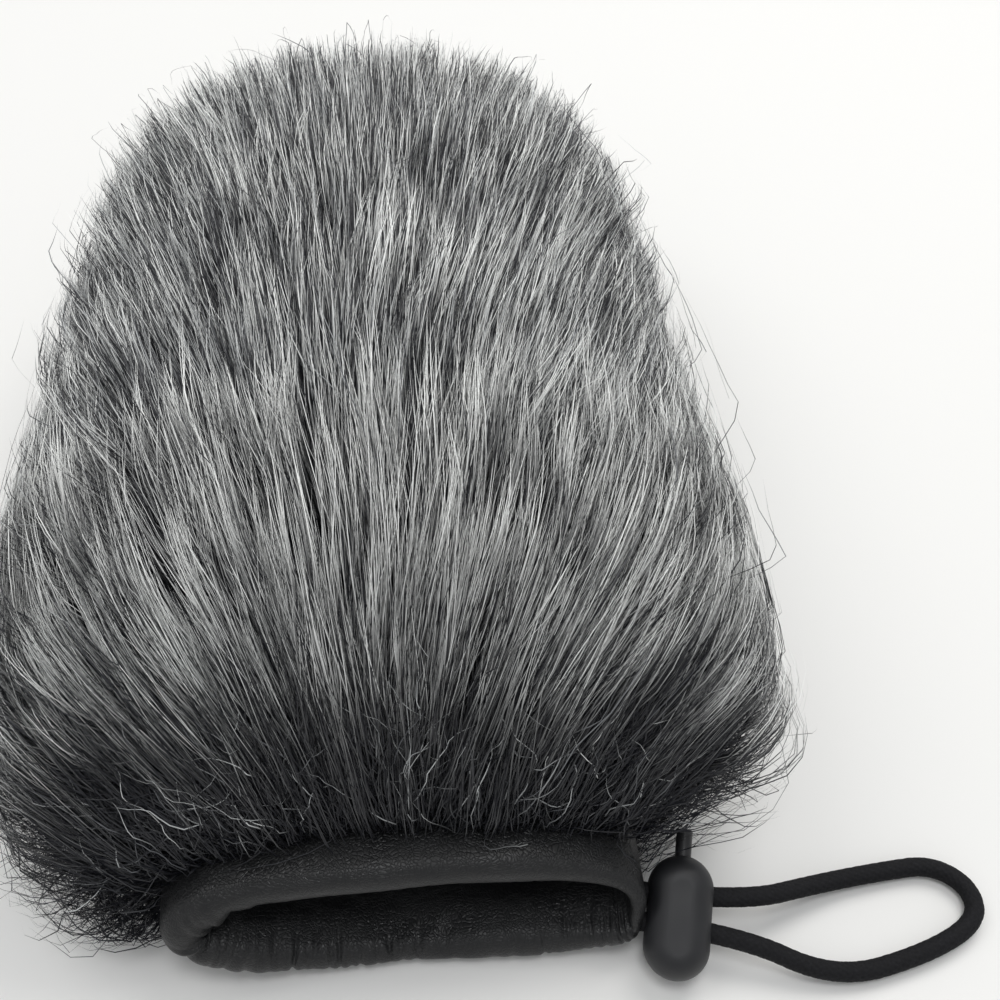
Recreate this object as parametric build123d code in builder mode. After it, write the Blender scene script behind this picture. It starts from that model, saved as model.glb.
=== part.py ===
"""Furry windscreen with a drawcord collar and a sliding cord lock, millimetres.

The sleeve lies on the floor (z = 0) along Y. Its gathered mouth faces -Y, its closed
end +Y. The cord lock and the free cord loop are on the +X side of the mouth.
"""
import os
from math import cos, pi, radians, sin, sqrt, tan

from build123d import *

os.makedirs("parts", exist_ok=True)

# ---- whole object -------------------------------------------------------------
LENGTH = 168.0                 # mouth to closed end
FRONT, BACK = -LENGTH / 2, LENGTH / 2
CASING_LENGTH = 11.0           # visible depth of the cord casing
NECK = FRONT + CASING_LENGTH   # where casing, fur, foam and lining are sewn together

# ---- outside of the pile: station, half width, half height, centre height -----
PILE = [
    (NECK, 34.0, 11.0, 11.0),
    (-69.6, 46.0, 17.0, 16.0),
    (-65.0, 55.0, 24.5, 23.0),
    (-55.0, 60.0, 31.5, 29.5),
    (-38.0, 60.5, 35.0, 33.0),
    (-12.0, 56.5, 36.0, 33.5),
    (20.0, 52.0, 35.0, 32.5),
    (48.0, 49.0, 33.5, 31.5),
    (68.0, 45.5, 30.0, 29.0),
    (79.0, 38.0, 23.0, 27.0),
    (BACK, 25.0, 14.0, 26.0),
]

# ---- inner face of the knitted backing: station, half width, half height, -----
# ---- centre height, share of wall thickness, share of end thickness -----------
BACKING = [
    (NECK, 31.6, 8.6, 11.0, 0.5, 0.0),
    (-64.0, 38.0, 13.5, 15.2, 0.8, 0.0),
    (-52.0, 43.0, 19.5, 22.0, 1.0, 0.0),
    (-35.0, 45.0, 24.0, 27.0, 1.0, 0.0),
    (-10.0, 44.0, 25.0, 28.0, 1.0, 0.0),
    (25.0, 41.0, 24.5, 27.8, 1.0, 0.0),
    (50.0, 38.0, 22.0, 26.8, 1.0, 0.3),
    (62.0, 32.0, 17.5, 26.0, 1.0, 0.7),
    (69.0, 21.0, 11.5, 25.5, 1.0, 1.0),
]
FOAM_THICKNESS = 4.5
LINING_THICKNESS = 0.6
SEAM_WIDTH, SEAM_DEPTH = 1.0, 1.2       # overlocked edge between the two fur panels

# ---- seam line between upper and lower panels, seen from the side (y, z) ------
SEAM_LINE = [(FRONT - 10, 11.0), (NECK, 11.0), (-50.0, 22.0), (-22.0, 27.0), (BACK + 10, 27.0)]

# ---- collar casing -------------------------------------------------------------
COLLAR_OUT = (34.0, 11.0)      # half width, half height
COLLAR_IN = (27.6, 5.4)
COLLAR_Z = 11.0
LIP_RADIUS = 2.2
LIP_STEP = 4.0                 # the upper lip sits this far behind the lower one
STITCH = 0.8                   # stitch line that joins casing and sleeve

# ---- elastic cord --------------------------------------------------------------
CORD_D = 2.8
CHANNEL_D = 3.4
STRAND_GAP = 2.0               # each strand's distance from the lock hole's middle
EXIT_X = -7.6                  # where both strands leave the casing, in the lock's frame
SPLICE_D = 3.8
SPLICE_FROM, SPLICE_TO = 0.215, 0.255      # its share of the way along the cord in the casing
EXIT_D = 3.9                   # widened mouth of the channel at the two exits

# ---- cord lock -----------------------------------------------------------------
LOCK_LENGTH, LOCK_WIDTH, LOCK_THICK = 17.0, 9.3, 8.4
LOCK_ROUND = 3.4
HOLE_FROM_TOP = 7.6
HOLE_LENGTH, HOLE_HEIGHT = 7.4, 3.4
WALL_TOP, WALL_BOTTOM = 1.3, 1.3
CHAMBER_D, BLOCK_D = 5.4, 5.26
STEM_D, STEM_HOLE_D, STEM_OUT = 2.34, 2.46, 3.7
TRAVEL = 1.8
WEB = 1.0
WIRE_D, COIL_D = 0.42, 3.9
LOCK_YAW, LOCK_LEAN = radians(13), radians(22)

hole_dir = Vector(cos(LOCK_YAW), -sin(LOCK_YAW), 0)
long_dir = Vector(cos(LOCK_LEAN) * sin(LOCK_YAW), cos(LOCK_LEAN) * cos(LOCK_YAW), sin(LOCK_LEAN))
lock_plane = Plane(origin=(39.4, -81.8, 6.45), x_dir=hole_dir, z_dir=hole_dir.cross(long_dir))


def at_lock(x, y, z=0.0):
    """A point given in the lock's own frame: x along the hole, y towards the button."""
    return lock_plane.from_local_coords(Vector(x, y, z))


def across(y, z):
    """The plane of a cross-section at station y, seen from the mouth."""
    return Plane(origin=(0, y, z), x_dir=(1, 0, 0), z_dir=(0, -1, 0))


def inset(stations, depth):
    """The backing's sections moved inwards by depth (outwards if it is negative)."""
    return [
        (y - depth * end, a - depth * wall, b - depth * wall, c)
        for y, a, b, c, wall, end in stations
    ]


# ---- construction solids: sleeve surfaces, seam regions -------------------------
with BuildPart() as pile_envelope:
    for y, a, b, c in PILE:
        with BuildSketch(across(y, c)):
            Ellipse(a, b)
    loft()
    split(bisect_by=Plane.XY, keep=Keep.TOP)

with BuildPart() as seam_envelope:
    for y, a, b, c in inset(BACKING, -SEAM_DEPTH):
        with BuildSketch(across(y, c)):
            Ellipse(a, b)
    loft()

with BuildPart() as foam_envelope:
    for y, a, b, c in inset(BACKING, 0):
        with BuildSketch(across(y, c)):
            Ellipse(a, b)
    loft()

with BuildPart() as lining_envelope:
    for y, a, b, c in inset(BACKING, FOAM_THICKNESS):
        with BuildSketch(across(y, c)):
            Ellipse(a, b)
    loft()

with BuildPart() as cavity:
    for y, a, b, c in inset(BACKING, FOAM_THICKNESS + LINING_THICKNESS):
        with BuildSketch(across(y, c)):
            Ellipse(a, b)
    loft()

with BuildPart() as upper_region:
    with BuildSketch(Plane.YZ):
        with BuildLine():
            Polyline(*SEAM_LINE, (BACK + 10, 90), (FRONT - 10, 90), close=True)
        make_face()
    extrude(amount=90, both=True)

with BuildPart() as seam_slab:
    half = SEAM_WIDTH / 2
    with BuildSketch(Plane.YZ):
        with BuildLine():
            Polyline(
                *[(y, z + half) for y, z in SEAM_LINE],
                *[(y, z - half) for y, z in reversed(SEAM_LINE)],
                close=True,
            )
        make_face()
    extrude(amount=90, both=True)

# ---- sleeve ----------------------------------------------------------------------
with BuildPart() as panel_seam_thread:
    add(seam_envelope.part)
    add(foam_envelope.part, mode=Mode.SUBTRACT)
    add(seam_slab.part, mode=Mode.INTERSECT)

with BuildPart() as fur_panel_top:
    add(pile_envelope.part)
    add(foam_envelope.part, mode=Mode.SUBTRACT)
    add(upper_region.part, mode=Mode.INTERSECT)
    add(panel_seam_thread.part, mode=Mode.SUBTRACT)

with BuildPart() as fur_panel_bottom:
    add(pile_envelope.part)
    add(foam_envelope.part, mode=Mode.SUBTRACT)
    add(upper_region.part, mode=Mode.SUBTRACT)
    add(panel_seam_thread.part, mode=Mode.SUBTRACT)

with BuildPart() as foam_liner_top:
    add(foam_envelope.part)
    add(lining_envelope.part, mode=Mode.SUBTRACT)
    add(upper_region.part, mode=Mode.INTERSECT)

with BuildPart() as foam_liner_bottom:
    add(foam_envelope.part)
    add(lining_envelope.part, mode=Mode.SUBTRACT)
    add(upper_region.part, mode=Mode.SUBTRACT)

with BuildPart() as inner_lining:
    add(lining_envelope.part)
    add(cavity.part, mode=Mode.SUBTRACT)

# ---- elastic cord ------------------------------------------------------------------
# In the casing the cord follows the middle of the wall once round the mouth, from one
# exit to the other; the two passes lie side by side at the exit.
ring_a = (COLLAR_OUT[0] + COLLAR_IN[0]) / 2
ring_b = (COLLAR_OUT[1] + COLLAR_IN[1]) / 2


def on_ring(x, side, y):
    """A point in the middle of the casing wall, side = -1 below or 1 above."""
    return Vector(x, y, COLLAR_Z + side * ring_b * sqrt(1 - (x / ring_a) ** 2))


low_exit, high_exit = at_lock(EXIT_X, -STRAND_GAP), at_lock(EXIT_X, STRAND_GAP)
ring_points = [
    low_exit,
    on_ring(22, -1, -80.6),
    on_ring(0, -1, -80.2),
    on_ring(-22, -1, -79.8),
    on_ring(-ring_a, 1, -79.4),
    on_ring(-22, 1, -79.0),
    on_ring(0, 1, -78.7),
    on_ring(24, 1, -78.4),
    Vector(28.6, -78.2, 12.6),
    Vector(29.6, -78.1, 9.0),
    high_exit,
]

with BuildPart() as cord_in_casing:
    with BuildLine() as ring_line:
        Spline(*ring_points, tangents=(hole_dir * -1, hole_dir))
    with BuildSketch(Plane(origin=ring_line.line @ 0, z_dir=ring_line.line % 0)):
        Circle(CORD_D / 2)
    sweep(path=ring_line.line)

with BuildPart() as channel:
    with BuildSketch(Plane(origin=ring_line.line @ 0, z_dir=ring_line.line % 0)):
        Circle(CHANNEL_D / 2)
    sweep(path=ring_line.line)
    for side in (-1, 1):
        with BuildSketch(Plane(origin=at_lock(EXIT_X - 1.2, side * STRAND_GAP), z_dir=hole_dir)):
            Circle(EXIT_D / 2)
        extrude(amount=5.0)

# The elastic's two ends are laid together and whipped with thread under the mouth.
with BuildPart() as splice_room:
    room_line = ring_line.edges()[0].trim(SPLICE_FROM - 0.002, SPLICE_TO + 0.002)
    with BuildSketch(Plane(origin=room_line @ 0, z_dir=room_line % 0)):
        Circle(SPLICE_D / 2 + 0.15)
    sweep(path=room_line)

with BuildPart() as cord_splice:
    splice_line = ring_line.edges()[0].trim(SPLICE_FROM, SPLICE_TO)
    with BuildSketch(Plane(origin=splice_line @ 0, z_dir=splice_line % 0)):
        Circle(SPLICE_D / 2)
        Circle(CORD_D / 2 + 0.02, mode=Mode.SUBTRACT)
    sweep(path=splice_line)

# The free loop: straight runs joined by tangent arcs, from one casing exit through the
# lock, round the bight on the floor and back through the lock.
FREE_CORNERS = [
    at_lock(8.0, STRAND_GAP),
    Vector(62.0, -78.0, 2.2),
    Vector(72.2, -76.8, 1.5),
    Vector(79.2, -76.5, 1.5),
    Vector(83.9, -80.4, 1.5),
    Vector(83.4, -85.6, 1.5),
    Vector(74.5, -89.5, 1.5),
    Vector(60.5, -92.0, 1.6),
    at_lock(8.0, -STRAND_GAP),
]
free_points = [high_exit, *FREE_CORNERS, low_exit]


def corner_radii(points, share=0.45):
    """Each corner's arc radius from its shorter run and its turn."""
    radii = []
    for before, corner, after in zip(points, points[1:], points[2:]):
        run_in, run_out = corner - before, after - corner
        half_turn = radians(run_in.get_angle(run_out)) / 2
        radii.append(share * min(run_in.length, run_out.length) / tan(half_turn))
    return radii


free_radii = corner_radii(free_points)
with BuildPart() as cord_loop:
    with BuildLine() as free_line:
        FilletPolyline(*free_points, radius=free_radii)
    with BuildSketch(Plane(origin=free_line.line @ 0, z_dir=free_line.line % 0)):
        Circle(CORD_D / 2)
    sweep(path=free_line.line)

# ---- collar ---------------------------------------------------------------------------
with BuildPart() as casing_stitch:
    with BuildSketch(across(NECK, COLLAR_Z)):
        Ellipse(ring_a + STITCH / 2, ring_b + STITCH / 2)
        Ellipse(ring_a - STITCH / 2, ring_b - STITCH / 2, mode=Mode.SUBTRACT)
    extrude(amount=STITCH)

with BuildPart() as collar_casing:
    with BuildSketch(across(NECK, COLLAR_Z)):
        Ellipse(*COLLAR_OUT)
        Ellipse(*COLLAR_IN, mode=Mode.SUBTRACT)
    extrude(amount=CASING_LENGTH)
    with BuildSketch(Plane.YZ):
        with BuildLine():
            Polyline((FRONT - 5, 6), (FRONT, 6), (FRONT + LIP_STEP, 22), (FRONT + LIP_STEP, 30),
                     (FRONT - 5, 30), close=True)
        make_face()
    extrude(amount=40, both=True, mode=Mode.SUBTRACT)
    front_edges = collar_casing.edges().filter_by(lambda e: e.center().Y < NECK - 4)
    fillet(front_edges, radius=LIP_RADIUS)
    add(channel.part, mode=Mode.SUBTRACT)
    add(splice_room.part, mode=Mode.SUBTRACT)
    add(casing_stitch.part, mode=Mode.SUBTRACT)

# ---- cord lock ----------------------------------------------------------------------------
top_y = HOLE_FROM_TOP
bottom_y = HOLE_FROM_TOP - LOCK_LENGTH
chamber_top, chamber_bottom = top_y - WALL_TOP, bottom_y + WALL_BOTTOM
block_top = chamber_top
slot_low = -(STRAND_GAP + CORD_D / 2 + 0.1)
slot_high = STRAND_GAP + CORD_D / 2 + 0.1 + TRAVEL
block_bottom = slot_low - WEB


def lock_section(y):
    """The plane across the lock's long axis at y, looking towards the button."""
    return Plane(origin=at_lock(0, y), x_dir=hole_dir, z_dir=long_dir)


def lock_side(x):
    """The plane across the cord hole at x."""
    return Plane(origin=at_lock(x, 0), x_dir=long_dir, z_dir=hole_dir)


with BuildPart() as lock_body:
    with BuildSketch(lock_plane.offset(-LOCK_THICK / 2)):
        with Locations((0, (top_y + bottom_y) / 2)):
            SlotOverall(LOCK_LENGTH, LOCK_WIDTH, rotation=90)
    extrude(amount=LOCK_THICK)
    fillet(lock_body.edges(), radius=LOCK_ROUND)
    with BuildSketch(lock_side(-LOCK_WIDTH)):
        SlotOverall(HOLE_LENGTH, HOLE_HEIGHT)
    extrude(amount=2 * LOCK_WIDTH, mode=Mode.SUBTRACT)
    with BuildSketch(lock_section(chamber_bottom)):
        Circle(CHAMBER_D / 2)
    extrude(amount=chamber_top - chamber_bottom, mode=Mode.SUBTRACT)
    with BuildSketch(lock_section(chamber_top - 0.5)):
        Circle(STEM_HOLE_D / 2)
    extrude(amount=WALL_TOP + 2, mode=Mode.SUBTRACT)

with BuildPart() as lock_button:
    with BuildSketch(lock_section(block_bottom)):
        Circle(BLOCK_D / 2)
    extrude(amount=block_top - block_bottom)
    with BuildSketch(lock_side(-LOCK_WIDTH)):
        with Locations(((slot_low + slot_high) / 2, 0)):
            Rectangle(slot_high - slot_low, HOLE_HEIGHT)
    extrude(amount=2 * LOCK_WIDTH, mode=Mode.SUBTRACT)
    with BuildSketch(lock_section(block_top)):
        Circle(STEM_D / 2)
    extrude(amount=WALL_TOP + STEM_OUT)
    tip = lock_button.faces().sort_by(Axis((0, 0, 0), long_dir))[-1]
    fillet(tip.edges(), radius=0.35)

spring_height = block_bottom - chamber_bottom - WIRE_D - 0.04
with BuildPart() as lock_spring:
    with BuildLine() as coil:
        Helix(
            pitch=spring_height / 3.5,
            height=spring_height,
            radius=COIL_D / 2,
            center=at_lock(0, chamber_bottom + WIRE_D / 2 + 0.02),
            direction=long_dir,
        )
    with BuildSketch(Plane(origin=coil.line @ 0, z_dir=coil.line % 0)):
        Circle(WIRE_D / 2)
    sweep(path=coil.line, is_frenet=True)

# ---- labels, export, figures ------------------------------------------------------------
nodes = {
    "fur_panel_top": fur_panel_top,
    "fur_panel_bottom": fur_panel_bottom,
    "panel_seam_thread": panel_seam_thread,
    "foam_liner_top": foam_liner_top,
    "foam_liner_bottom": foam_liner_bottom,
    "inner_lining": inner_lining,
    "collar_casing": collar_casing,
    "casing_stitch": casing_stitch,
    "cord_in_casing": cord_in_casing,
    "cord_splice": cord_splice,
    "cord_loop": cord_loop,
    "lock_body": lock_body,
    "lock_button": lock_button,
    "lock_spring": lock_spring,
}
for name, built in nodes.items():
    built.part.label = name
    export_step(built.part, f"parts/{name}.step")
    size = built.part.bounding_box()
    print(f"{name:20s} solids {len(built.part.solids())}  volume {built.part.volume:10.1f}  "
          f"min {tuple(round(v, 2) for v in size.min)}  max {tuple(round(v, 2) for v in size.max)}")

section_area = pi * (CORD_D / 2) ** 2
for name, line, built in (("cord_loop", free_line, cord_loop), ("cord_in_casing", ring_line, cord_in_casing)):
    length = sum(edge.length for edge in line.edges())
    print(f"{name}: length {length:.1f}, volume / (section x length) = "
          f"{built.part.volume / (section_area * length):.4f}")
print("free loop radii", [round(r, 1) for r in free_radii])
print("free loop runs", [round((b - a).length, 1) for a, b in zip(free_points, free_points[1:])])
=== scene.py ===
import math

import bpy
import numpy as np
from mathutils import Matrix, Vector


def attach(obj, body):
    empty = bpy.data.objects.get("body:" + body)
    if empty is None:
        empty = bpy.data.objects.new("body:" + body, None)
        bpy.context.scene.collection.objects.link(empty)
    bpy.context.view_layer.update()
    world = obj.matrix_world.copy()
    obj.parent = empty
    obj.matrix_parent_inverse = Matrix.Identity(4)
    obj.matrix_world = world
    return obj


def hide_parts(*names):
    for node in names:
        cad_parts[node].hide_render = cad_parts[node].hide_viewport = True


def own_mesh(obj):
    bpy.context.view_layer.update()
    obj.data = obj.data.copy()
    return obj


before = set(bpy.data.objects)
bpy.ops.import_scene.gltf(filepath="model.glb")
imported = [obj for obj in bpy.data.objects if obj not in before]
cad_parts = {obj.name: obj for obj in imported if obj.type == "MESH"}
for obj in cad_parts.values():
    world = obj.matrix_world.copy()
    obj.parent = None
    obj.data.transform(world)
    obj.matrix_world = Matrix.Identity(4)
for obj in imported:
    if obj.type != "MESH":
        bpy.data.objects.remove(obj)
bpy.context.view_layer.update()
MM = 0.001
STRAND_MAP = "OFBake"
scene = bpy.context.scene
rng = np.random.default_rng(7)

# ---------------------------------------------------------------- camera

FOCAL_LENGTH = 45.0
CAMERA_PLACE = (0.0074, -0.1486, 0.1803)
PITCH, YAW = math.radians(50.0), math.radians(5.5)

camera_data = bpy.data.cameras.new("camera")
camera_data.lens = FOCAL_LENGTH
camera_data.sensor_width = 36.0
camera_data.clip_start, camera_data.clip_end = 0.005, 20.0
camera = bpy.data.objects.new("camera", camera_data)
camera.location = CAMERA_PLACE
forward = Vector(
    (math.cos(PITCH) * math.sin(YAW), math.cos(PITCH) * math.cos(YAW), -math.sin(PITCH))
)
camera.rotation_mode = "QUATERNION"
camera.rotation_quaternion = forward.to_track_quat("-Z", "Y")
scene.collection.objects.link(camera)
scene.camera = camera
scene.view_settings.view_transform = "Standard"


# ---------------------------------------------------------------- small helpers


def nodes_of(material):
    material.use_nodes = True
    tree = material.node_tree
    return tree, tree.nodes["Principled BSDF"]


def add_node(tree, kind, **values):
    node = tree.nodes.new(kind)
    for key, value in values.items():
        if key in node.inputs:
            node.inputs[key].default_value = value
        else:
            setattr(node, key, value)
    return node


def ramp(tree, stops):
    node = tree.nodes.new("ShaderNodeValToRGB")
    elements = node.color_ramp.elements
    while len(elements) < len(stops):
        elements.new(0.5)
    for element, (at, colour) in zip(elements, stops):
        element.position = at
        element.color = (*colour, 1.0)
    return node


def mesh_object(name, verts, faces, material):
    """verts is (n, 3) in millimetres, faces is (m, 3) or (m, 4) or a list of such arrays."""
    groups = faces if isinstance(faces, list) else [faces]
    mesh = bpy.data.meshes.new(name)
    verts = np.asarray(verts, np.float32) * MM
    mesh.vertices.add(len(verts))
    mesh.vertices.foreach_set("co", verts.ravel())
    loops = np.concatenate([g.ravel() for g in groups]).astype(np.int32)
    counts = np.concatenate([np.full(len(g), g.shape[1], np.int32) for g in groups])
    starts = np.concatenate([[0], np.cumsum(counts)[:-1]]).astype(np.int32)
    mesh.loops.add(len(loops))
    mesh.loops.foreach_set("vertex_index", loops)
    mesh.polygons.add(len(counts))
    mesh.polygons.foreach_set("loop_start", starts)
    mesh.polygons.foreach_set("loop_total", counts)
    mesh.polygons.foreach_set("use_smooth", np.ones(len(counts), bool))
    mesh.update(calc_edges=True)
    mesh.materials.append(material)
    made = bpy.data.objects.new(name, mesh)
    scene.collection.objects.link(made)
    return made


def grid_faces(rows, columns, wrap_columns=False, wrap_rows=False):
    """Quads between the points of a grid, closed round its rows or columns if asked."""
    r = np.arange(rows if wrap_rows else rows - 1)
    c = np.arange(columns if wrap_columns else columns - 1)
    rr, cc = np.meshgrid(r, c, indexing="ij")
    r1, c1 = (rr + 1) % rows, (cc + 1) % columns
    quads = np.stack([rr * columns + cc, rr * columns + c1, r1 * columns + c1, r1 * columns + cc], -1)
    return quads.reshape(-1, 4)


def set_uv(made, uv):
    """uv is one (u, v) for each vertex."""
    mesh = made.data
    layer = mesh.uv_layers.new(name=STRAND_MAP)
    index = np.zeros(len(mesh.loops), np.int32)
    mesh.loops.foreach_get("vertex_index", index)
    layer.data.foreach_set("uv", np.asarray(uv, np.float32)[index].ravel())


def unit(v):
    return v / np.maximum(np.linalg.norm(v, axis=-1, keepdims=True), 1e-9)


def smooth_step(x, low, high):
    t = np.clip((x - low) / (high - low), 0, 1)
    return t * t * (3 - 2 * t)


# ---------------------------------------------------------------- free cord loop

CORD_D = 2.8
BRAID_RIBS, BRAID_PITCH, RIB_HEIGHT = 11, 1.35, 0.07
ROUTE = [
    (32.41, -78.28, 7.20),
    (47.61, -81.79, 7.20),
    (62.0, -78.0, 2.2),
    (72.2, -76.8, 1.5),
    (79.2, -76.5, 1.5),
    (83.9, -80.4, 1.5),
    (83.4, -85.6, 1.5),
    (74.5, -89.5, 1.5),
    (60.5, -92.0, 1.6),
    (46.78, -85.41, 5.70),
    (31.58, -81.90, 5.70),
]


def route_line(points):
    """The points of the NURBS curve that the route controls, in millimetres."""
    data = bpy.data.curves.new("route", "CURVE")
    data.dimensions = "3D"
    data.resolution_u = 48
    spline = data.splines.new("NURBS")
    spline.points.add(len(points) - 1)
    for point, place in zip(spline.points, points):
        point.co = (*[x * MM for x in place], 1.0)
    spline.order_u = 3
    spline.use_endpoint_u = True
    carrier = bpy.data.objects.new("route", data)
    scene.collection.objects.link(carrier)
    mesh = bpy.data.meshes.new_from_object(carrier)
    line = np.array([v.co[:] for v in mesh.vertices], float) / MM
    bpy.data.objects.remove(carrier)
    return line


def resample(line, spacing):
    """Even points along a line, and each one's distance from its start."""
    length = np.concatenate([[0], np.cumsum(np.linalg.norm(np.diff(line, axis=0), axis=1))])
    keep = np.concatenate([[True], np.diff(length) > 1e-6])
    line, length = line[keep], length[keep]
    at = np.linspace(0, length[-1], int(length[-1] / spacing) + 1)
    return np.stack([np.interp(at, length, line[:, k]) for k in range(3)], 1), at


def frames_along(line):
    """Two cross directions at each point of a line, turning as little as possible."""
    tangent = unit(np.gradient(line, axis=0))
    side = np.zeros_like(line)
    current = np.cross(tangent[0], (0, 0, 1.0))
    for i, t in enumerate(tangent):
        current = current - t * (current @ t)
        current = current / np.linalg.norm(current)
        side[i] = current
    return side, np.cross(tangent, side)


def braided_tube(name, line, diameter, material, around=44, spacing=0.16):
    """A tube whose surface carries the fine crossing ribs of a braided cover."""
    points, at = resample(line, spacing)
    side, other = frames_along(points)
    turn = np.linspace(0, 2 * np.pi, around, endpoint=False)
    a, s = np.meshgrid(turn, at)
    slant = 2 * np.pi / BRAID_PITCH
    over = np.maximum(np.cos(BRAID_RIBS * a + slant * s), np.cos(BRAID_RIBS * a - slant * s))
    radius = diameter / 2 - RIB_HEIGHT + RIB_HEIGHT * over + 0.012 * np.sin(3.1 * s + 2 * a)
    ring = (
        points[:, None, :]
        + radius[..., None] * np.cos(a)[..., None] * side[:, None, :]
        + radius[..., None] * np.sin(a)[..., None] * other[:, None, :]
    )
    verts = ring.reshape(-1, 3)
    made = mesh_object(name, verts, grid_faces(len(points), around, wrap_columns=True), material)
    return made, points


def braid_material():
    material = bpy.data.materials.new("braided_elastic")
    tree, shader = nodes_of(material)
    place = add_node(tree, "ShaderNodeTexCoord")
    noise = add_node(tree, "ShaderNodeTexNoise", Scale=2600.0, Detail=4.0, Roughness=0.7)
    colour = ramp(tree, [
        (0.35, (0.004, 0.004, 0.005)),
        (0.62, (0.009, 0.009, 0.011)),
        (0.8, (0.025, 0.025, 0.029)),
    ])
    bump = add_node(tree, "ShaderNodeBump", Strength=0.55, Distance=0.00012)
    tree.links.new(place.outputs["Object"], noise.inputs["Vector"])
    tree.links.new(noise.outputs["Fac"], colour.inputs["Fac"])
    tree.links.new(colour.outputs["Color"], shader.inputs["Base Color"])
    tree.links.new(noise.outputs["Fac"], bump.inputs["Height"])
    tree.links.new(bump.outputs["Normal"], shader.inputs["Normal"])
    shader.inputs["Roughness"].default_value = 0.82
    shader.inputs["Specular IOR Level"].default_value = 0.3
    return material


cord_material = braid_material()
cord_line = route_line(ROUTE)
cord, cord_path = braided_tube("cord_loop_braid", cord_line, CORD_D, cord_material)
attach(cord, "sleeve")
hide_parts("cord_loop")
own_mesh(cord)

# ---------------------------------------------------------------- sleeve surfaces

FRONT, NECK, BACK = -84.0, -73.0, 84.0

# Each row is a cross-section: its Y, half width, half height and the height of its centre.
# PILE gives the strands' facing, BACKING the cloth they grow from, RUFF the room they fill.
PILE = np.array([
    (NECK, 34.0, 11.0, 11.0),
    (-69.6, 46.0, 17.0, 16.0),
    (-65.0, 55.0, 24.5, 23.0),
    (-55.0, 60.0, 31.5, 29.5),
    (-38.0, 60.5, 35.0, 33.0),
    (-12.0, 56.5, 36.0, 33.5),
    (20.0, 52.0, 35.0, 32.5),
    (48.0, 49.0, 33.5, 31.5),
    (68.0, 45.5, 30.0, 29.0),
    (79.0, 38.0, 23.0, 27.0),
    (BACK, 25.0, 14.0, 26.0),
    (BACK + 1.0, 3.0, 2.0, 25.5),
])
BACKING = np.array([
    (NECK, 31.6, 8.6, 11.0),
    (-64.0, 38.0, 13.5, 15.2),
    (-52.0, 43.0, 19.5, 22.0),
    (-35.0, 45.0, 24.0, 27.0),
    (-10.0, 44.0, 25.0, 28.0),
    (25.0, 41.0, 24.5, 27.8),
    (50.0, 38.0, 22.0, 26.8),
    (62.0, 32.0, 17.5, 26.0),
    (69.0, 21.0, 11.5, 25.5),
    (70.5, 4.0, 2.5, 25.5),
])
RUFF = np.array([
    (-81.5, 39.0, 6.0, 6.5),
    (-77.0, 49.0, 10.5, 10.5),
    (-72.0, 54.0, 17.0, 15.5),
    (-66.0, 55.5, 25.5, 23.5),
    (-55.0, 54.0, 32.0, 30.0),
    (-38.0, 53.5, 35.0, 33.0),
    (-12.0, 52.5, 36.0, 33.5),
    (20.0, 52.5, 35.0, 32.5),
    (48.0, 50.5, 33.5, 31.5),
    (68.0, 48.5, 30.5, 29.0),
    (79.0, 42.0, 24.0, 27.0),
    (84.5, 31.0, 15.0, 26.0),
    (86.0, 4.0, 2.5, 25.5),
])


def smooth_table(table, samples=600):
    """The table's columns resampled evenly along its profile, rounded by a smoothing pass."""
    walk = np.concatenate([[0], np.cumsum(np.hypot(np.diff(table[:, 0]), np.diff(table[:, 1])))])
    at = np.linspace(0, walk[-1], samples)
    columns = np.stack([np.interp(at, walk, table[:, k]) for k in range(4)], 1)
    width = samples // 28
    kernel = np.hanning(width * 2 + 1)
    kernel /= kernel.sum()
    padded = np.concatenate(
        [2 * columns[:1] - columns[width:0:-1], columns, 2 * columns[-1:] - columns[-2 : -width - 2 : -1]]
    )
    rounded = np.stack([np.convolve(padded[:, k], kernel, "valid") for k in range(4)], 1)
    return rounded


pile_profile = smooth_table(PILE)
backing_profile = smooth_table(BACKING)
ruff_profile = smooth_table(RUFF)


def section_at(profile, y):
    """Half width, half height and centre height at each station y."""
    order = np.argsort(profile[:, 0])
    p = profile[order]
    return [np.interp(y, p[:, 0], p[:, k]) for k in (1, 2, 3)]


def level(profile, p):
    """1 on the surface, under 1 inside it, for points p."""
    a, b, c = section_at(profile, p[:, 1])
    return np.hypot(p[:, 0] / a, (p[:, 2] - c) / b)


def outward(profile, p):
    """The surface's outward direction at each point."""
    h = 0.8
    grad = np.empty_like(p)
    for k in range(3):
        ahead, behind = p.copy(), p.copy()
        ahead[:, k] += h
        behind[:, k] -= h
        grad[:, k] = (level(profile, ahead) - level(profile, behind)) / (2 * h)
    return unit(grad)


def surface_points(profile, count, low_share):
    """Random points spread evenly over a profile's surface, fewer of them underneath."""
    want, found = count, []
    seg = np.hypot(np.diff(profile[:, 0]), np.diff(profile[:, 1]))
    girth = profile[:-1, 1] + profile[:-1, 2]
    weight = seg * girth
    cumulative = np.cumsum(weight) / weight.sum()
    while want > 0:
        n = int(want * 1.6) + 100
        i = np.searchsorted(cumulative, rng.random(n))
        f = rng.random(n)[:, None]
        row = profile[i] * (1 - f) + profile[np.minimum(i + 1, len(profile) - 1)] * f
        angle = rng.random(n) * 2 * np.pi
        a, b = row[:, 1], row[:, 2]
        stretch = np.hypot(a * np.sin(angle), b * np.cos(angle)) / np.maximum(a, b)
        keep = rng.random(n) < stretch
        keep &= (np.sin(angle) > -0.55) | (rng.random(n) < low_share)
        row, angle = row[keep], angle[keep]
        found.append(
            np.stack([row[:, 1] * np.cos(angle), row[:, 0], row[:, 3] + row[:, 2] * np.sin(angle)], 1)
        )
        want -= len(found[-1])
    return np.concatenate(found)[:count]


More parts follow.
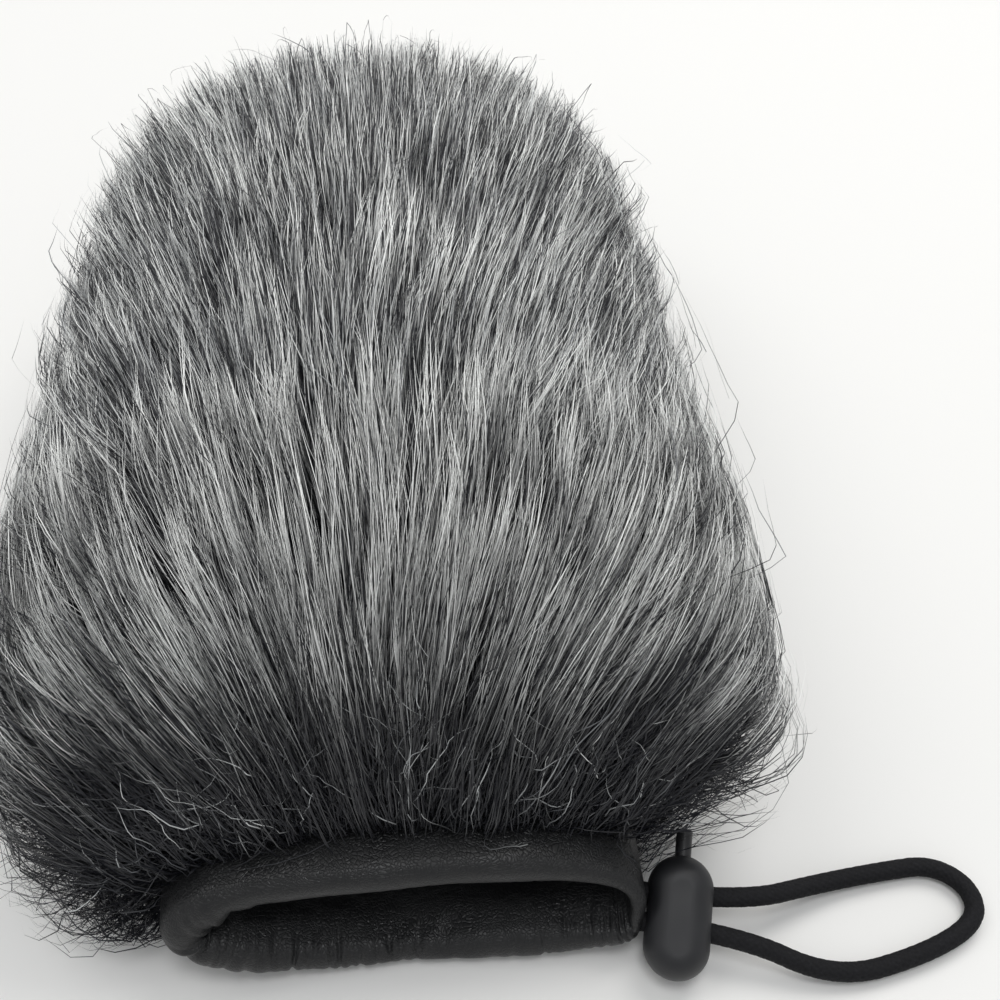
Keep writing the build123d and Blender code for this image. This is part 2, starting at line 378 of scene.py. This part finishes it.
# ---------------------------------------------------------------- fur strands


def fur_material():
    """Strand colour from the strand's own map: U is its shade, V runs from root to tip."""
    material = bpy.data.materials.new("fur_fibre")
    tree, shader = nodes_of(material)
    uv = add_node(tree, "ShaderNodeUVMap", uv_map=STRAND_MAP)
    split = add_node(tree, "ShaderNodeSeparateXYZ")
    shade = ramp(tree, [
        (0.0, (0.011, 0.0115, 0.015)),
        (0.25, (0.030, 0.031, 0.037)),
        (0.45, (0.13, 0.135, 0.145)),
        (0.7, (0.56, 0.575, 0.575)),
        (1.0, (0.95, 0.96, 0.94)),
    ])
    shade.color_ramp.interpolation = "EASE"
    depth = ramp(tree, [
        (0.0, (0.0, 0.0, 0.0)),
        (0.36, (0.04, 0.04, 0.04)),
        (0.62, (0.20, 0.20, 0.20)),
        (0.84, (0.72, 0.72, 0.72)),
        (1.0, (1.0, 1.0, 1.0)),
    ])
    mix = add_node(tree, "ShaderNodeMix", data_type="RGBA")
    mix.inputs["A"].default_value = (0.009, 0.0095, 0.0135, 1.0)
    tree.links.new(uv.outputs["UV"], split.inputs["Vector"])
    tree.links.new(split.outputs["X"], shade.inputs["Fac"])
    tree.links.new(split.outputs["Y"], depth.inputs["Fac"])
    tree.links.new(depth.outputs["Color"], mix.inputs["Factor"])
    tree.links.new(shade.outputs["Color"], mix.inputs["B"])
    tree.links.new(mix.outputs["Result"], shader.inputs["Base Color"])
    shader.inputs["Roughness"].default_value = 0.42
    shader.inputs["Specular IOR Level"].default_value = 0.45
    return material


def lay_direction(p, normal):
    """Which way the pile is combed at p: towards the closed end, and off the crown sideways."""
    side = np.clip(p[:, 0] / 42.0, -1.4, 1.4)
    crown = np.clip((p[:, 2] - 20.0) / 30.0, 0.0, 1.0)
    lay = np.stack([0.52 * side * (0.35 + 0.65 * crown), np.ones(len(p)), -0.10 * np.ones(len(p))], 1)
    lay -= normal * np.sum(lay * normal, 1, keepdims=True)
    return unit(lay)


def field(p, scale, seed):
    """A smooth random value from about -1 to 1 at each point."""
    r = np.random.default_rng(seed)
    total = np.zeros(len(p))
    for _ in range(7):
        wave = r.normal(size=3) / scale
        total += np.sin(p @ wave + r.uniform(0, 2 * np.pi))
    return total / 3.0


def clear_of_collar(p):
    """Points pushed outwards where they would cross the collar."""
    a, b, mid = 34.6, 11.7, 11.0
    near = np.hypot(p[:, 0] / a, (p[:, 2] - mid) / b)
    inside = (p[:, 1] < NECK + 0.5) & (near < 1)
    grow = np.where(inside, 1 / np.maximum(near, 0.2), 1.0)
    return np.stack([p[:, 0] * grow, p[:, 1], mid + (p[:, 2] - mid) * grow], 1)


LOCK_LOW, LOCK_HIGH = np.array((36.2, -90.0, 3.0)), np.array((43.6, -69.0, 13.5))
SIDE_LIMIT, END_LIMIT, TOP_LIMIT, LIP_LIMIT = 71, 97, 80, -80.3
PIECE_TRIANGLES = 185000
FUR_NODES = ["fur_panel_top", "fur_panel_bottom"]
fibre = fur_material()


def fits(paths, gap=5.3):
    """Which strands stay inside the sleeve's room and leave the cord lock free."""
    line = LOCK_HIGH - LOCK_LOW
    along = np.clip((paths - LOCK_LOW) @ line / (line @ line), 0, 1)
    away = np.linalg.norm(paths - (LOCK_LOW + along[..., None] * line), axis=-1).min(1)
    x, y, z = np.abs(paths[..., 0]).max(1), paths[..., 1].max(1), paths[..., 2].max(1)
    under_lip = paths[..., 1].min(1) < LIP_LIMIT
    return (away > gap) & (x < SIDE_LIMIT) & (y < END_LIMIT) & (z < TOP_LIMIT) & ~under_lip


def comb(root, length, lift, top, bend, steps, forward=0.0, wander=0.05, swing_by=0.16):
    """Strand centrelines from their roots, combed along the lay and kept under the pile's surface.

    lift is the share of the outward direction at the root, top the level a strand may
    reach, bend how fast it turns to the lay, forward how far it first leans to the mouth.
    """
    n = len(root)
    normal = outward(backing_profile, root)
    lay = lay_direction(root, normal)
    direction = normal * lift[:, None] + lay * (1.25 - lift)[:, None]
    direction[:, 1] -= forward
    swing = np.stack([field(root, 9.0, 3), field(root, 9.0, 4), field(root, 9.0, 5)], 1)
    direction = unit(direction + swing_by * swing)
    floor_gap = 0.35 + 0.8 * rng.random(n)
    p = root.copy()
    points = [p.copy()]
    step = (length / steps)[:, None]
    for _ in range(steps):
        p = p + direction * step
        now = level(ruff_profile, p)
        n_out = outward(ruff_profile, p)
        over = now > top
        a, b, _ = section_at(ruff_profile, p[:, 1])
        push = (now - top) * np.minimum(a, b) * 0.8
        p = np.where(over[:, None], p - n_out * np.clip(push, 0, 3.0)[:, None], p)
        p = clear_of_collar(p)
        p[:, 2] = np.maximum(p[:, 2], floor_gap)
        out_part = np.sum(direction * n_out, 1, keepdims=True)
        direction = np.where(over[:, None] & (out_part > 0), direction - n_out * out_part * 0.9, direction)
        target = lay_direction(p, n_out)
        direction = unit(direction + bend[:, None] * (target - direction) + wander * rng.normal(size=(n, 3)))
        points.append(p.copy())
    return np.stack(points, 1)


def ribbons(name_root, paths, width, shade, dark_root):
    """Thin tapering ribbons along the paths, split into pieces of a moderate size.

    dark_root is the distance from the root, in millimetres, at which a strand's dark
    base has faded into its full shade.
    """
    keep = fits(paths)
    paths, width, shade, dark_root = paths[keep], width[keep], shade[keep], dark_root[keep]
    n, k, _ = paths.shape
    run = np.linalg.norm(np.diff(paths, axis=1), axis=2)
    run = np.concatenate([np.zeros((n, 1)), np.cumsum(run, axis=1)], 1)
    fade = np.clip(run / dark_root[:, None], 0, 1)
    tangent = unit(np.gradient(paths, axis=1))
    middle = paths[:, k // 2]
    out = outward(pile_profile, middle)
    roll = rng.normal(0, 0.75, n)
    across = np.cross(tangent, out[:, None, :])
    across = unit(across)
    up = np.cross(across, tangent)
    across = across * np.cos(roll)[:, None, None] + up * np.sin(roll)[:, None, None]
    s = np.linspace(0, 1, k)
    taper = np.clip(np.minimum(0.75 + s * 1.2, (1 - s) * 3.2), 0, 1)
    half = 0.5 * width[:, None] * taper[None, :]
    left = paths[:, :-1] - across[:, :-1] * half[:, :-1, None]
    right = paths[:, :-1] + across[:, :-1] * half[:, :-1, None]
    body = np.stack([left, right], 2).reshape(n, -1, 3)
    verts = np.concatenate([body, paths[:, -1:, :]], 1)
    per = verts.shape[1]
    uv_v = np.concatenate([np.repeat(fade[:, :-1], 2, axis=1), fade[:, -1:]], 1)
    i = np.arange(k - 2) * 2
    quads = np.stack([i, i + 1, i + 3, i + 2], 1)
    last = np.array([[per - 3, per - 2, per - 1]])
    tris_each = 2 * len(quads) + 1
    limit = max(1, int(PIECE_TRIANGLES / tris_each))
    for part, start in enumerate(range(0, n, limit)):
        chunk = verts[start : start + limit]
        m = len(chunk)
        base = (np.arange(m) * per)[:, None, None]
        q = (quads[None] + base).reshape(-1, 4)
        t = (last[None] + base).reshape(-1, 3)
        piece = mesh_object(f"{name_root}_{part + 1:02d}", chunk.reshape(-1, 3), [q, t], fibre)
        u = np.repeat(shade[start : start + limit], per)
        set_uv(piece, np.stack([u, uv_v[start : start + limit].ravel()], 1))
        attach(piece, "sleeve")
        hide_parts(*FUR_NODES)


def pile(name, per_tuft, root, steps, guide, fade, pale, dark_share, dark_reach):
    """Tufts of strands: the fibres of a tuft follow one guide and gather towards its tip.

    The share dark_share of them is dark and short, dark_reach of the guide's length, and
    the others are guard hairs, pale brightening them. fade is the range of dark_root.
    """
    n = len(root)
    guides = comb(root, *guide, steps, wander=0.04, swing_by=0.12)
    owner = np.repeat(np.arange(n), per_tuft)
    count = len(owner)
    dark_one = rng.random(count) < dark_share
    normal = outward(backing_profile, root)[owner]
    offset = rng.normal(0, 1.5, (count, 3))
    offset -= normal * np.sum(offset * normal, 1, keepdims=True)
    share = np.linspace(0, 1, steps + 1)[None, :, None]
    reach = np.where(dark_one, rng.uniform(*dark_reach, count), rng.uniform(0.68, 1.04, count))
    cell = np.clip(share[..., 0] * reach[:, None] * steps, 0, steps - 1e-4)
    low_index = cell.astype(int)
    part = (cell - low_index)[..., None]
    own = guides[owner]
    rows = np.arange(count)[:, None]
    paths = own[rows, low_index] * (1 - part) + own[rows, low_index + 1] * part
    gather = rng.uniform(0.35, 0.98, count)[:, None, None]
    spread = rng.normal(0, 1.0, (count, 3))[:, None, :] * (share ** 1.6)
    paths = paths + offset[:, None, :] * (1 - gather * share ** 1.1) + spread
    wave_a, wave_b = rng.normal(0, 1, (2, count, 1, 3))
    phase = rng.uniform(0, 6.28, (count, 1, 1))
    paths += 0.16 * (wave_a * np.sin(6 * share + phase) + wave_b * np.cos(10 * share + phase)) * share
    paths[..., 2] = np.maximum(paths[..., 2], 0.3 + 0.3 * rng.random((count, 1)))

    tuft_shade = np.clip(0.55 + 0.30 * field(root, 4.0, 21) + 0.20 * rng.normal(size=n), 0.0, 1.0)
    light_shade = tuft_shade[owner] * 0.65 + rng.uniform(0.20, 0.62, count) + pale
    shade = np.where(dark_one, rng.uniform(0.0, 0.30, count), np.clip(light_shade, 0.35, 1.0))
    width = np.where(dark_one, rng.uniform(0.12, 0.19, count), rng.uniform(0.08, 0.145, count))
    dark_root = rng.uniform(*fade, count)
    order = rng.permutation(count)
    ribbons(name, paths[order], width[order], shade[order], dark_root[order])


PILE_TUFTS, CREST_TUFTS = 4375, 665
all_root = surface_points(backing_profile, PILE_TUFTS, 0.35)
neck_share = 1 - smooth_step(all_root[:, 1], -60, -36)
is_neck = rng.random(len(all_root)) < neck_share
neck_root, body_root = all_root[is_neck], all_root[~is_neck]

n = len(neck_root)
neck_guide = (
    rng.uniform(40, 58, n), np.clip(rng.normal(0.92, 0.12, n), 0.5, 1.2),
    np.clip(rng.normal(0.955, 0.035, n), 0.84, 1.02), np.full(n, 0.165),
)
pile("fur_neck", 22, neck_root, 9, neck_guide, (32, 46), 0.70, 0.48, (0.36, 0.74))
at_crest = (backing_profile[:, 0] > -66) & (backing_profile[:, 0] < -36)
crest_root = surface_points(backing_profile[at_crest], CREST_TUFTS, 0.25)
n = len(crest_root)
crest_guide = (
    rng.uniform(27, 42, n), np.clip(rng.normal(0.95, 0.12, n), 0.5, 1.2),
    np.clip(rng.normal(0.965, 0.03, n), 0.86, 1.03), np.full(n, 0.13),
)
pile("fur_crest", 14, crest_root, 8, crest_guide, (23, 34), 0.80, 0.27, (0.45, 0.80))
n = len(body_root)
at_end = smooth_step(body_root[:, 1], 40, 66)
body_guide = (
    rng.uniform(26, 34, n) * (1 - 0.35 * at_end),
    np.clip(rng.normal(0.55, 0.09, n), 0.3, 0.9) + 0.25 * at_end,
    np.clip(rng.normal(0.95, 0.035, n), 0.82, 1.02), np.full(n, 0.14),
)
pile("fur_body", 14, body_root, 6, body_guide, (15, 24), 0.16, 0.44, (0.6, 0.97))


def kinked(paths, size):
    """Crimped strands: two waves of random direction added along each path."""
    n, k, _ = paths.shape
    s = np.linspace(0, 1, k)[None, :, None]
    for turns, share_of in ((8.0, 1.0), (17.0, 0.6)):
        wave = rng.normal(0, size * share_of, (n, 1, 3))
        paths = paths + wave * np.sin(turns * s + rng.uniform(0, 6.28, (n, 1, 3))) * s ** 0.6
    paths[..., 2] = np.maximum(paths[..., 2], 0.3)
    return paths


# under-fur: short dark kinked fibres that fill the pile's depth
UNDER = 8400
under_root = surface_points(backing_profile, UNDER * 2, 0.3)
front_share = 1 - smooth_step(under_root[:, 1], -60, -15)
under_root = under_root[rng.random(len(under_root)) < 0.2 + 0.8 * front_share][:UNDER]
n = len(under_root)
under = comb(
    under_root, rng.uniform(14, 26, n), rng.uniform(0.6, 1.1, n), rng.uniform(0.72, 0.93, n),
    np.full(n, 0.2), 8
)
ribbons("fur_under", kinked(under, 0.4), rng.uniform(0.15, 0.24, n), rng.uniform(0.0, 0.30, n),
        np.full(n, 20.0))

# ruff: soft dark fibres that stand out around the neck and spill forward beside the collar
RUFF_COUNT = 8400
ruff_root = surface_points(backing_profile[backing_profile[:, 0] < -58], RUFF_COUNT, 0.6)
n = len(ruff_root)
beside = np.abs(ruff_root[:, 0]) / 34.0
ruff = comb(
    ruff_root, rng.uniform(11, 25, n) + 5 * np.clip(beside, 0, 1), rng.uniform(0.95, 1.2, n),
    rng.uniform(0.72, 1.02, n), rng.uniform(0.02, 0.14, n), 8,
    forward=0.10 + 1.0 * np.clip(beside, 0, 1) ** 2 * rng.random(n), wander=0.14
)
ribbons("fur_ruff", kinked(ruff, 0.35), rng.uniform(0.10, 0.19, n), rng.uniform(0.0, 0.34, n),
        rng.uniform(16, 34, n))

# pale crimped guard hairs scattered over the dark zone near the collar
CRIMPED = 910
crimp_root = surface_points(backing_profile[backing_profile[:, 0] < -57], CRIMPED, 0.3)
n = len(crimp_root)
crimped = comb(
    crimp_root, rng.uniform(10, 27, n), rng.uniform(0.9, 1.2, n), rng.uniform(0.94, 1.05, n),
    rng.uniform(0.04, 0.16, n), 16, forward=0.15, wander=0.20
)
ribbons("fur_crimped", kinked(crimped, 0.45), rng.uniform(0.09, 0.15, n), rng.uniform(0.40, 0.85, n),
        rng.uniform(10, 20, n))

# flyaway hairs that leave the outline
FLYAWAY = 385
fly_root = surface_points(backing_profile, FLYAWAY, 0.3)
n = len(fly_root)
flyaway = comb(
    fly_root, rng.uniform(28, 46, n), rng.uniform(0.8, 1.1, n), rng.uniform(0.99, 1.12, n),
    rng.uniform(0.06, 0.14, n), 12, wander=0.06
)
ribbons("fur_flyaway", flyaway, rng.uniform(0.09, 0.15, n), rng.uniform(0.05, 0.7, n),
        rng.uniform(10, 20, n))

# ---------------------------------------------------------------- fur backing


def knitted_material(name, scale, colours, relief, rough):
    material = bpy.data.materials.new(name)
    tree, shader = nodes_of(material)
    place = add_node(tree, "ShaderNodeTexCoord")
    knit = add_node(tree, "ShaderNodeTexVoronoi", Scale=scale)
    colour = ramp(tree, colours)
    bump = add_node(tree, "ShaderNodeBump", Strength=relief, Distance=0.0003)
    tree.links.new(place.outputs["Object"], knit.inputs["Vector"])
    tree.links.new(knit.outputs["Distance"], colour.inputs["Fac"])
    tree.links.new(colour.outputs["Color"], shader.inputs["Base Color"])
    tree.links.new(knit.outputs["Distance"], bump.inputs["Height"])
    tree.links.new(bump.outputs["Normal"], shader.inputs["Normal"])
    shader.inputs["Roughness"].default_value = rough
    return material


def sleeve_mesh(name, profile, grow, thick, material, stations=90, around=120):
    """A cloth shell of real thickness on the profile's sections, its outer face grown by grow."""
    rows = profile[np.linspace(0, len(profile) - 1, stations).astype(int)]
    rise, run = np.gradient(rows[:, 2]), np.gradient(rows[:, 0])
    size = np.hypot(rise, run)
    layers = []
    for depth, least in ((0.0, 1.4), (thick, 1.4 - thick)):
        a = np.maximum(rows[:, 1] + grow - depth * run / size, least)
        b = np.maximum(rows[:, 2] + grow - depth * run / size, least)
        layers.append(np.stack([a, b, rows[:, 0] + depth * rise / size, rows[:, 3]], 1))
    a, b, y, middle = np.concatenate([layers[0], layers[1][::-1]]).T
    angle = np.linspace(0, 2 * np.pi, around, endpoint=False)
    verts = np.stack([
        a[:, None] * np.cos(angle),
        np.repeat(y[:, None], around, 1),
        middle[:, None] + b[:, None] * np.sin(angle),
    ], -1).reshape(-1, 3)
    faces = grid_faces(2 * stations, around, wrap_rows=True, wrap_columns=True)
    return mesh_object(name, verts, faces, material)


backing_material = knitted_material(
    "knitted_backing", 900.0, [(0.0, (0.006, 0.006, 0.008)), (0.6, (0.014, 0.014, 0.017))], 0.6, 0.9
)
backing = sleeve_mesh("fur_backing", backing_profile, 0.9, 0.9, backing_material)
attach(backing, "sleeve")
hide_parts(*FUR_NODES)

# ---------------------------------------------------------------- collar


def leatherette_material():
    material = bpy.data.materials.new("leatherette")
    tree, shader = nodes_of(material)
    place = add_node(tree, "ShaderNodeTexCoord")
    warp = add_node(tree, "ShaderNodeTexNoise", Scale=260.0, Detail=2.0)
    mixed = add_node(tree, "ShaderNodeMix", data_type="RGBA")
    mixed.inputs["Factor"].default_value = 0.003
    pebble = add_node(tree, "ShaderNodeTexVoronoi", Scale=1900.0, feature="DISTANCE_TO_EDGE")
    fine = add_node(tree, "ShaderNodeTexNoise", Scale=3800.0, Detail=3.0)
    patches = add_node(tree, "ShaderNodeTexNoise", Scale=120.0, Detail=3.0)
    groove = ramp(tree, [(0.0, (0.0, 0.0, 0.0)), (0.16, (0.8, 0.8, 0.8)), (0.5, (1.0, 1.0, 1.0))])
    colour = ramp(tree, [
        (0.0, (0.004, 0.004, 0.005)),
        (0.2, (0.008, 0.0082, 0.009)),
        (1.0, (0.011, 0.0113, 0.012)),
    ])
    rough = ramp(tree, [(0.3, (0.30, 0.30, 0.30)), (0.7, (0.50, 0.50, 0.50))])
    first = add_node(tree, "ShaderNodeBump", Strength=0.55, Distance=0.00010)
    second = add_node(tree, "ShaderNodeBump", Strength=0.18, Distance=0.00005)
    links = tree.links.new
    links(place.outputs["Object"], warp.inputs["Vector"])
    links(place.outputs["Object"], mixed.inputs["A"])
    links(warp.outputs["Color"], mixed.inputs["B"])
    links(mixed.outputs["Result"], pebble.inputs["Vector"])
    links(place.outputs["Object"], fine.inputs["Vector"])
    links(place.outputs["Object"], patches.inputs["Vector"])
    links(pebble.outputs["Distance"], groove.inputs["Fac"])
    links(groove.outputs["Color"], colour.inputs["Fac"])
    links(colour.outputs["Color"], shader.inputs["Base Color"])
    links(patches.outputs["Fac"], rough.inputs["Fac"])
    links(rough.outputs["Color"], shader.inputs["Roughness"])
    links(groove.outputs["Color"], first.inputs["Height"])
    links(fine.outputs["Fac"], second.inputs["Height"])
    links(first.outputs["Normal"], second.inputs["Normal"])
    links(second.outputs["Normal"], shader.inputs["Normal"])
    shader.inputs["Specular IOR Level"].default_value = 0.4
    return material


leatherette = leatherette_material()
RING_A, RING_B, RING_Z = 30.8, 8.3, 11.0


def ring_shape(t):
    """The drawn-up ring at angle t: fat and rounded at its free end, flat and square beside the lock.

    Returns the middle of the casing's wall, its half thickness, where its rolled lip
    starts, and the outward direction across the wall.
    """
    right, left = np.clip(np.cos(t), 0, 1), np.clip(-np.cos(t), 0, 1)
    top, low = np.clip(np.sin(t), 0, 1), np.clip(-np.sin(t), 0, 1)
    square = 1.0 - 0.45 * smooth_step(right, 0.0, 0.4) * smooth_step(low, 0.0, 0.3)
    square -= 0.06 * smooth_step(right, 0.0, 0.4) * smooth_step(top, 0.0, 0.3)
    x = RING_A * np.sign(np.cos(t)) * np.abs(np.cos(t)) ** square
    z = RING_B * np.sign(np.sin(t)) * np.abs(np.sin(t)) ** square
    x = x + 1.6 * left ** 2 + 1.9 * left * low + 2.4 * right ** 2 + 1.5 * np.minimum(low, 0.5) * right
    half = 2.75 + 0.65 * left ** 3 - 1.6 * right ** 3
    front = FRONT + 4.0 * smooth_step(np.sin(t) * 11.0 + 11.0, 6.0, 20.0) + half
    front = front - 1.2 * right * smooth_step(low, 0.0, 0.4)
    nx = np.sign(np.cos(t)) * np.abs(np.cos(t)) ** (2 - square) / RING_A
    nz = np.sign(np.sin(t)) * np.abs(np.sin(t)) ** (2 - square) / RING_B
    size = np.maximum(np.hypot(nx, nz), 1e-6)
    return x, RING_Z + z, half, front, nx / size, nz / size


def gathers(theta, t, s):
    """How far the casing's surface dips: narrow pleats, deepest at the free end and the lower lip."""
    r = np.random.default_rng(11)
    speed = np.hypot(RING_A * np.sin(theta), RING_B * np.cos(theta))
    arc = np.cumsum(speed) * (theta[1] - theta[0])
    girth = arc[-1]
    arc_t = np.repeat(arc[:, None], s.shape[1], 1)
    left, low = np.clip(-np.cos(t), 0, 1), np.clip(-np.sin(t), 0, 1)
    fold = np.zeros_like(t)
    at = 0.0
    while at < girth:
        at += r.uniform(1.2, 2.6)
        place = np.interp(at, arc, theta)
        free_end = max(0.0, -math.cos(place)) ** 6
        below = max(0.0, -math.sin(place)) ** 0.5
        depth = (0.05 + 0.55 * free_end + 0.50 * below) * r.uniform(0.3, 1.2)
        wide = r.uniform(0.35, 0.75)
        skew = r.uniform(-2.0, 7.0)
        middle, reach = r.uniform(0.44, 0.54), r.uniform(0.06, 0.11) + 0.05 * free_end
        away = (arc_t - at - skew * (s - 0.5) + girth / 2) % girth - girth / 2
        fold -= depth * np.exp(-((away / wide) ** 2)) * np.exp(-(((s - middle) / reach) ** 2))
    for k in range(3, 14):
        swell = 0.30 / math.sqrt(k) * (0.25 + left ** 2 + 0.6 * low)
        fold += swell * np.sin(k * t + r.uniform(0, 6.28) + 2.0 * (s - 0.5) * r.normal())
    fold += 0.38 * np.exp(-(((t - 2.55) / 0.28) ** 2)) * np.sin(25 * t) * smooth_step(s, 0.36, 0.5)
    return fold * (1 - 0.9 * smooth_step(s, 0.58, 0.76))


def collar_mesh(around=1100, along=80):
    """The folded casing: outer face, rolled lip and inner face, gathered by the cord."""
    theta = np.linspace(0, 2 * np.pi, around, endpoint=False)
    t, s = np.meshgrid(theta, np.linspace(0, 1, along), indexing="ij")
    x_ring, z_ring, half, front, nx, nz = ring_shape(t)
    outer_back, inner_back = -69.0, -64.0
    run_out = outer_back - front
    lip = np.pi * half
    d = s * (run_out + lip + inner_back - front)
    bend = np.clip((d - run_out) / half, 0, np.pi)
    on_outer, on_inner = d < run_out, d > run_out + lip
    y = np.where(on_outer, outer_back - d, front - half * np.sin(bend))
    y = np.where(on_inner, front + d - run_out - lip, y)
    fold = gathers(theta, t, s)
    n = (half + fold) * np.cos(bend)
    y = y - fold * np.sin(bend)
    x = x_ring + n * nx
    z = np.maximum(z_ring + n * nz, 0.05)
    verts = np.stack([x, y, z], -1).reshape(-1, 3)
    faces = grid_faces(around, along, wrap_rows=True)
    return mesh_object("collar_leatherette", verts, faces[:, ::-1], leatherette)


collar = collar_mesh()

# the cord held in the casing, drawn thinner than the free loop so that it stays inside
HELD_D = 2.2
turn = np.linspace(0.3, 2 * np.pi - 0.3, 400)
held_x, held_z, _, held_front, _, _ = ring_shape(turn)
held_line = np.stack([held_x, held_front + 0.6, held_z], 1)
held_cord, _ = braided_tube("cord_ring_braid", held_line, HELD_D, cord_material, around=24, spacing=0.3)
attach(held_cord, "sleeve")
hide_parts("cord_in_casing")
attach(collar, "sleeve")
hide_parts("collar_casing")

# ---------------------------------------------------------------- lining

lining_material = knitted_material(
    "knitted_lining", 1100.0, [(0.1, (0.004, 0.004, 0.005)), (0.6, (0.012, 0.012, 0.014))], 0.7, 0.85
)
lining = sleeve_mesh("lining_bag", backing_profile, -5.2, 0.6, lining_material)
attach(lining, "sleeve")
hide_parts("inner_lining")

# ---------------------------------------------------------------- cord lock and hidden pieces


def moulded_material(name, base, rough):
    material = bpy.data.materials.new(name)
    tree, shader = nodes_of(material)
    place = add_node(tree, "ShaderNodeTexCoord")
    grain = add_node(tree, "ShaderNodeTexNoise", Scale=5200.0, Detail=3.0)
    cloud = add_node(tree, "ShaderNodeTexNoise", Scale=160.0, Detail=3.0)
    colour = ramp(tree, [(0.3, tuple(0.8 * x for x in base)), (0.7, tuple(1.25 * x for x in base))])
    gloss = ramp(tree, [(0.3, (rough - 0.08,) * 3), (0.7, (rough + 0.08,) * 3)])
    bump = add_node(tree, "ShaderNodeBump", Strength=0.25, Distance=0.00004)
    links = tree.links.new
    links(place.outputs["Object"], grain.inputs["Vector"])
    links(place.outputs["Object"], cloud.inputs["Vector"])
    links(cloud.outputs["Fac"], colour.inputs["Fac"])
    links(cloud.outputs["Fac"], gloss.inputs["Fac"])
    links(colour.outputs["Color"], shader.inputs["Base Color"])
    links(gloss.outputs["Color"], shader.inputs["Roughness"])
    links(grain.outputs["Fac"], bump.inputs["Height"])
    links(bump.outputs["Normal"], shader.inputs["Normal"])
    return material


LINERS = ["foam_liner_top", "foam_liner_bottom"]


def dress(node, material):
    """Gives a CAD node its material."""
    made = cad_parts[node]
    made.data.materials.clear()
    made.data.materials.append(material)
    made.data.polygons.foreach_set("use_smooth", [True] * len(made.data.polygons))


lock_plastic = moulded_material("soft_touch_plastic", (0.013, 0.0133, 0.0155), 0.5)
button_plastic = moulded_material("button_plastic", (0.018, 0.018, 0.020), 0.45)
thread = moulded_material("sewing_thread", (0.012, 0.012, 0.013), 0.8)
foam = moulded_material("open_cell_foam", (0.030, 0.030, 0.033), 0.9)
steel = moulded_material("spring_wire", (0.55, 0.55, 0.57), 0.3)
steel.node_tree.nodes["Principled BSDF"].inputs["Metallic"].default_value = 1.0
dress("lock_body", lock_plastic)
dress("lock_button", button_plastic)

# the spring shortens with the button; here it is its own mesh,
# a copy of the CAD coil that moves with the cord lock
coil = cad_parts["lock_spring"]
coil_points = np.array([coil.matrix_world @ v.co for v in coil.data.vertices]) / MM
coil_faces = np.array([tuple(p.vertices) for p in coil.data.polygons])
spring = mesh_object("spring_wound", coil_points, coil_faces, steel)
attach(spring, "cord_lock")
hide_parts("lock_spring")
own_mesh(spring)
for node in ("panel_seam_thread", "casing_stitch", "cord_splice"):
    dress(node, thread)
for node in LINERS:
    dress(node, foam)

# ---------------------------------------------------------------- floor and light


def plain_material(name, colour, roughness):
    material = bpy.data.materials.new(name)
    _, shader = nodes_of(material)
    shader.inputs["Base Color"].default_value = (*colour, 1.0)
    shader.inputs["Roughness"].default_value = roughness
    return material


floor_mesh = bpy.data.meshes.new("floor")
floor_mesh.from_pydata([(-3, -3, 0), (3, -3, 0), (3, 3, 0), (-3, 3, 0)], [], [(0, 1, 2, 3)])
floor_mesh.materials.append(plain_material("white_table", (0.86, 0.855, 0.84), 0.6))
floor = bpy.data.objects.new("floor", floor_mesh)
floor.location = (0, 0, -0.0001)
scene.collection.objects.link(floor)

world = bpy.data.worlds.new("studio")
scene.world = world
world.use_nodes = True
world.node_tree.nodes["Background"].inputs["Color"].default_value = (0.97, 0.985, 1.0, 1.0)
world.node_tree.nodes["Background"].inputs["Strength"].default_value = 0.53

LIGHT_TARGET = (0, 0, 0.02)


def area_light(name, place, size, energy, colour):
    data = bpy.data.lights.new(name, "AREA")
    data.shape = "DISK"
    data.size = size
    data.energy = energy
    data.color = colour
    light = bpy.data.objects.new(name, data)
    light.location = place
    light.rotation_mode = "QUATERNION"
    light.rotation_quaternion = (Vector(LIGHT_TARGET) - Vector(place)).to_track_quat("-Z", "Y")
    scene.collection.objects.link(light)


area_light("key", (0.40, 0.50, 0.95), 0.7, 4.9, (1.0, 0.985, 0.955))
area_light("left", (-0.55, 0.35, 0.95), 0.8, 2.4, (1.0, 0.99, 0.97))
area_light("overhead", (0.05, -0.22, 1.15), 0.35, 2.6, (0.98, 0.99, 1.0))
